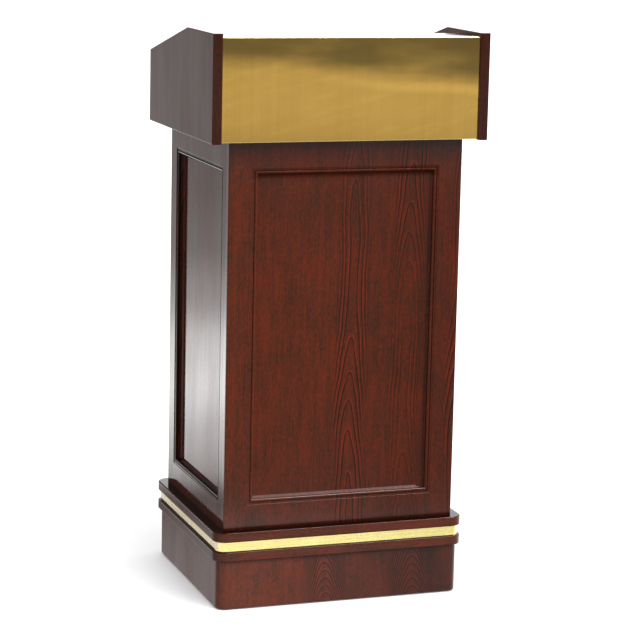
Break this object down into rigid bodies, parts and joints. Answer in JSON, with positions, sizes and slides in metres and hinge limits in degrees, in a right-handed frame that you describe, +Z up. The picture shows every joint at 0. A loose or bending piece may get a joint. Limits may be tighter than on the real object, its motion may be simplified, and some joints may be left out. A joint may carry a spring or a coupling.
{
  "type": "wooden pulpit",
  "caption": "Floor-standing wooden pulpit: panelled box body on a stepped plinth with a brass band, and a wider sloping head with side cheeks and a brass-clad front.",
  "frame": {"origin": "on the floor under the middle of the overall box", "axes": "+Z up, -Y towards the audience (brass face), +Y towards the speaker, +X to the right seen from the audience"},
  "size_m": [0.595, 0.475, 1.194],
  "materials": {
    "mahogany": "semi-gloss red-brown wood grain",
    "core_wood": "raw board",
    "dowel_wood": "raw beech",
    "brass": "fine vertical brushing, lacquered",
    "zinc_steel": "bright zinc",
    "nickel_steel": "nickel plated",
    "nylon": "moulded"
  },
  "bodies": {
    "frame": {"band_core": "core_wood", "base_screws": "zinc_steel", "body_front_panel": "mahogany", "body_side_left": "mahogany", "body_side_right": "mahogany", "book_stop": "mahogany", "brass_band": "brass", "brass_face": "brass", "cheek_dowels": "dowel_wood", "cheek_left": "mahogany", "cheek_right": "mahogany", "cleat_screws": "zinc_steel", "desk_cleat_left": "mahogany", "desk_cleat_right": "mahogany", "face_board": "mahogany", "glide_inserts": "zinc_steel", "glue_blocks": "core_wood", "head_floor": "mahogany", "head_screws": "zinc_steel", "ledge_board": "mahogany", "lower_board": "mahogany", "plinth_corner_blocks": "core_wood", "plinth_skirt": "mahogany", "reading_desk": "mahogany", "rear_top_rail": "mahogany", "shelf_pins": "nickel_steel", "top_board": "mahogany"},
    "shelf_board": {"shelf": "mahogany"},
    "glide_front_left": {"glide_pad_front_left": "nylon", "glide_stem_front_left": "zinc_steel"},
    "glide_front_right": {"glide_pad_front_right": "nylon", "glide_stem_front_right": "zinc_steel"},
    "glide_rear_left": {"glide_pad_rear_left": "nylon", "glide_stem_rear_left": "zinc_steel"},
    "glide_rear_right": {"glide_pad_rear_right": "nylon", "glide_stem_rear_right": "zinc_steel"}
  },
  "joints": [
    {"name": "shelf_slide", "type": "slide", "parent": "frame", "child": "shelf_board", "axis": [0, 1, 0], "range_m": [0, 0.41]},
    {"name": "glide_front_left_screw", "type": "slide", "parent": "frame", "child": "glide_front_left", "axis": [0, 0, -1], "range_m": [0, 0.012]},
    {"name": "glide_front_right_screw", "type": "slide", "parent": "frame", "child": "glide_front_right", "axis": [0, 0, -1], "range_m": [0, 0.012]},
    {"name": "glide_rear_left_screw", "type": "slide", "parent": "frame", "child": "glide_rear_left", "axis": [0, 0, -1], "range_m": [0, 0.012]},
    {"name": "glide_rear_right_screw", "type": "slide", "parent": "frame", "child": "glide_rear_right", "axis": [0, 0, -1], "range_m": [0, 0.012]}
  ]
}
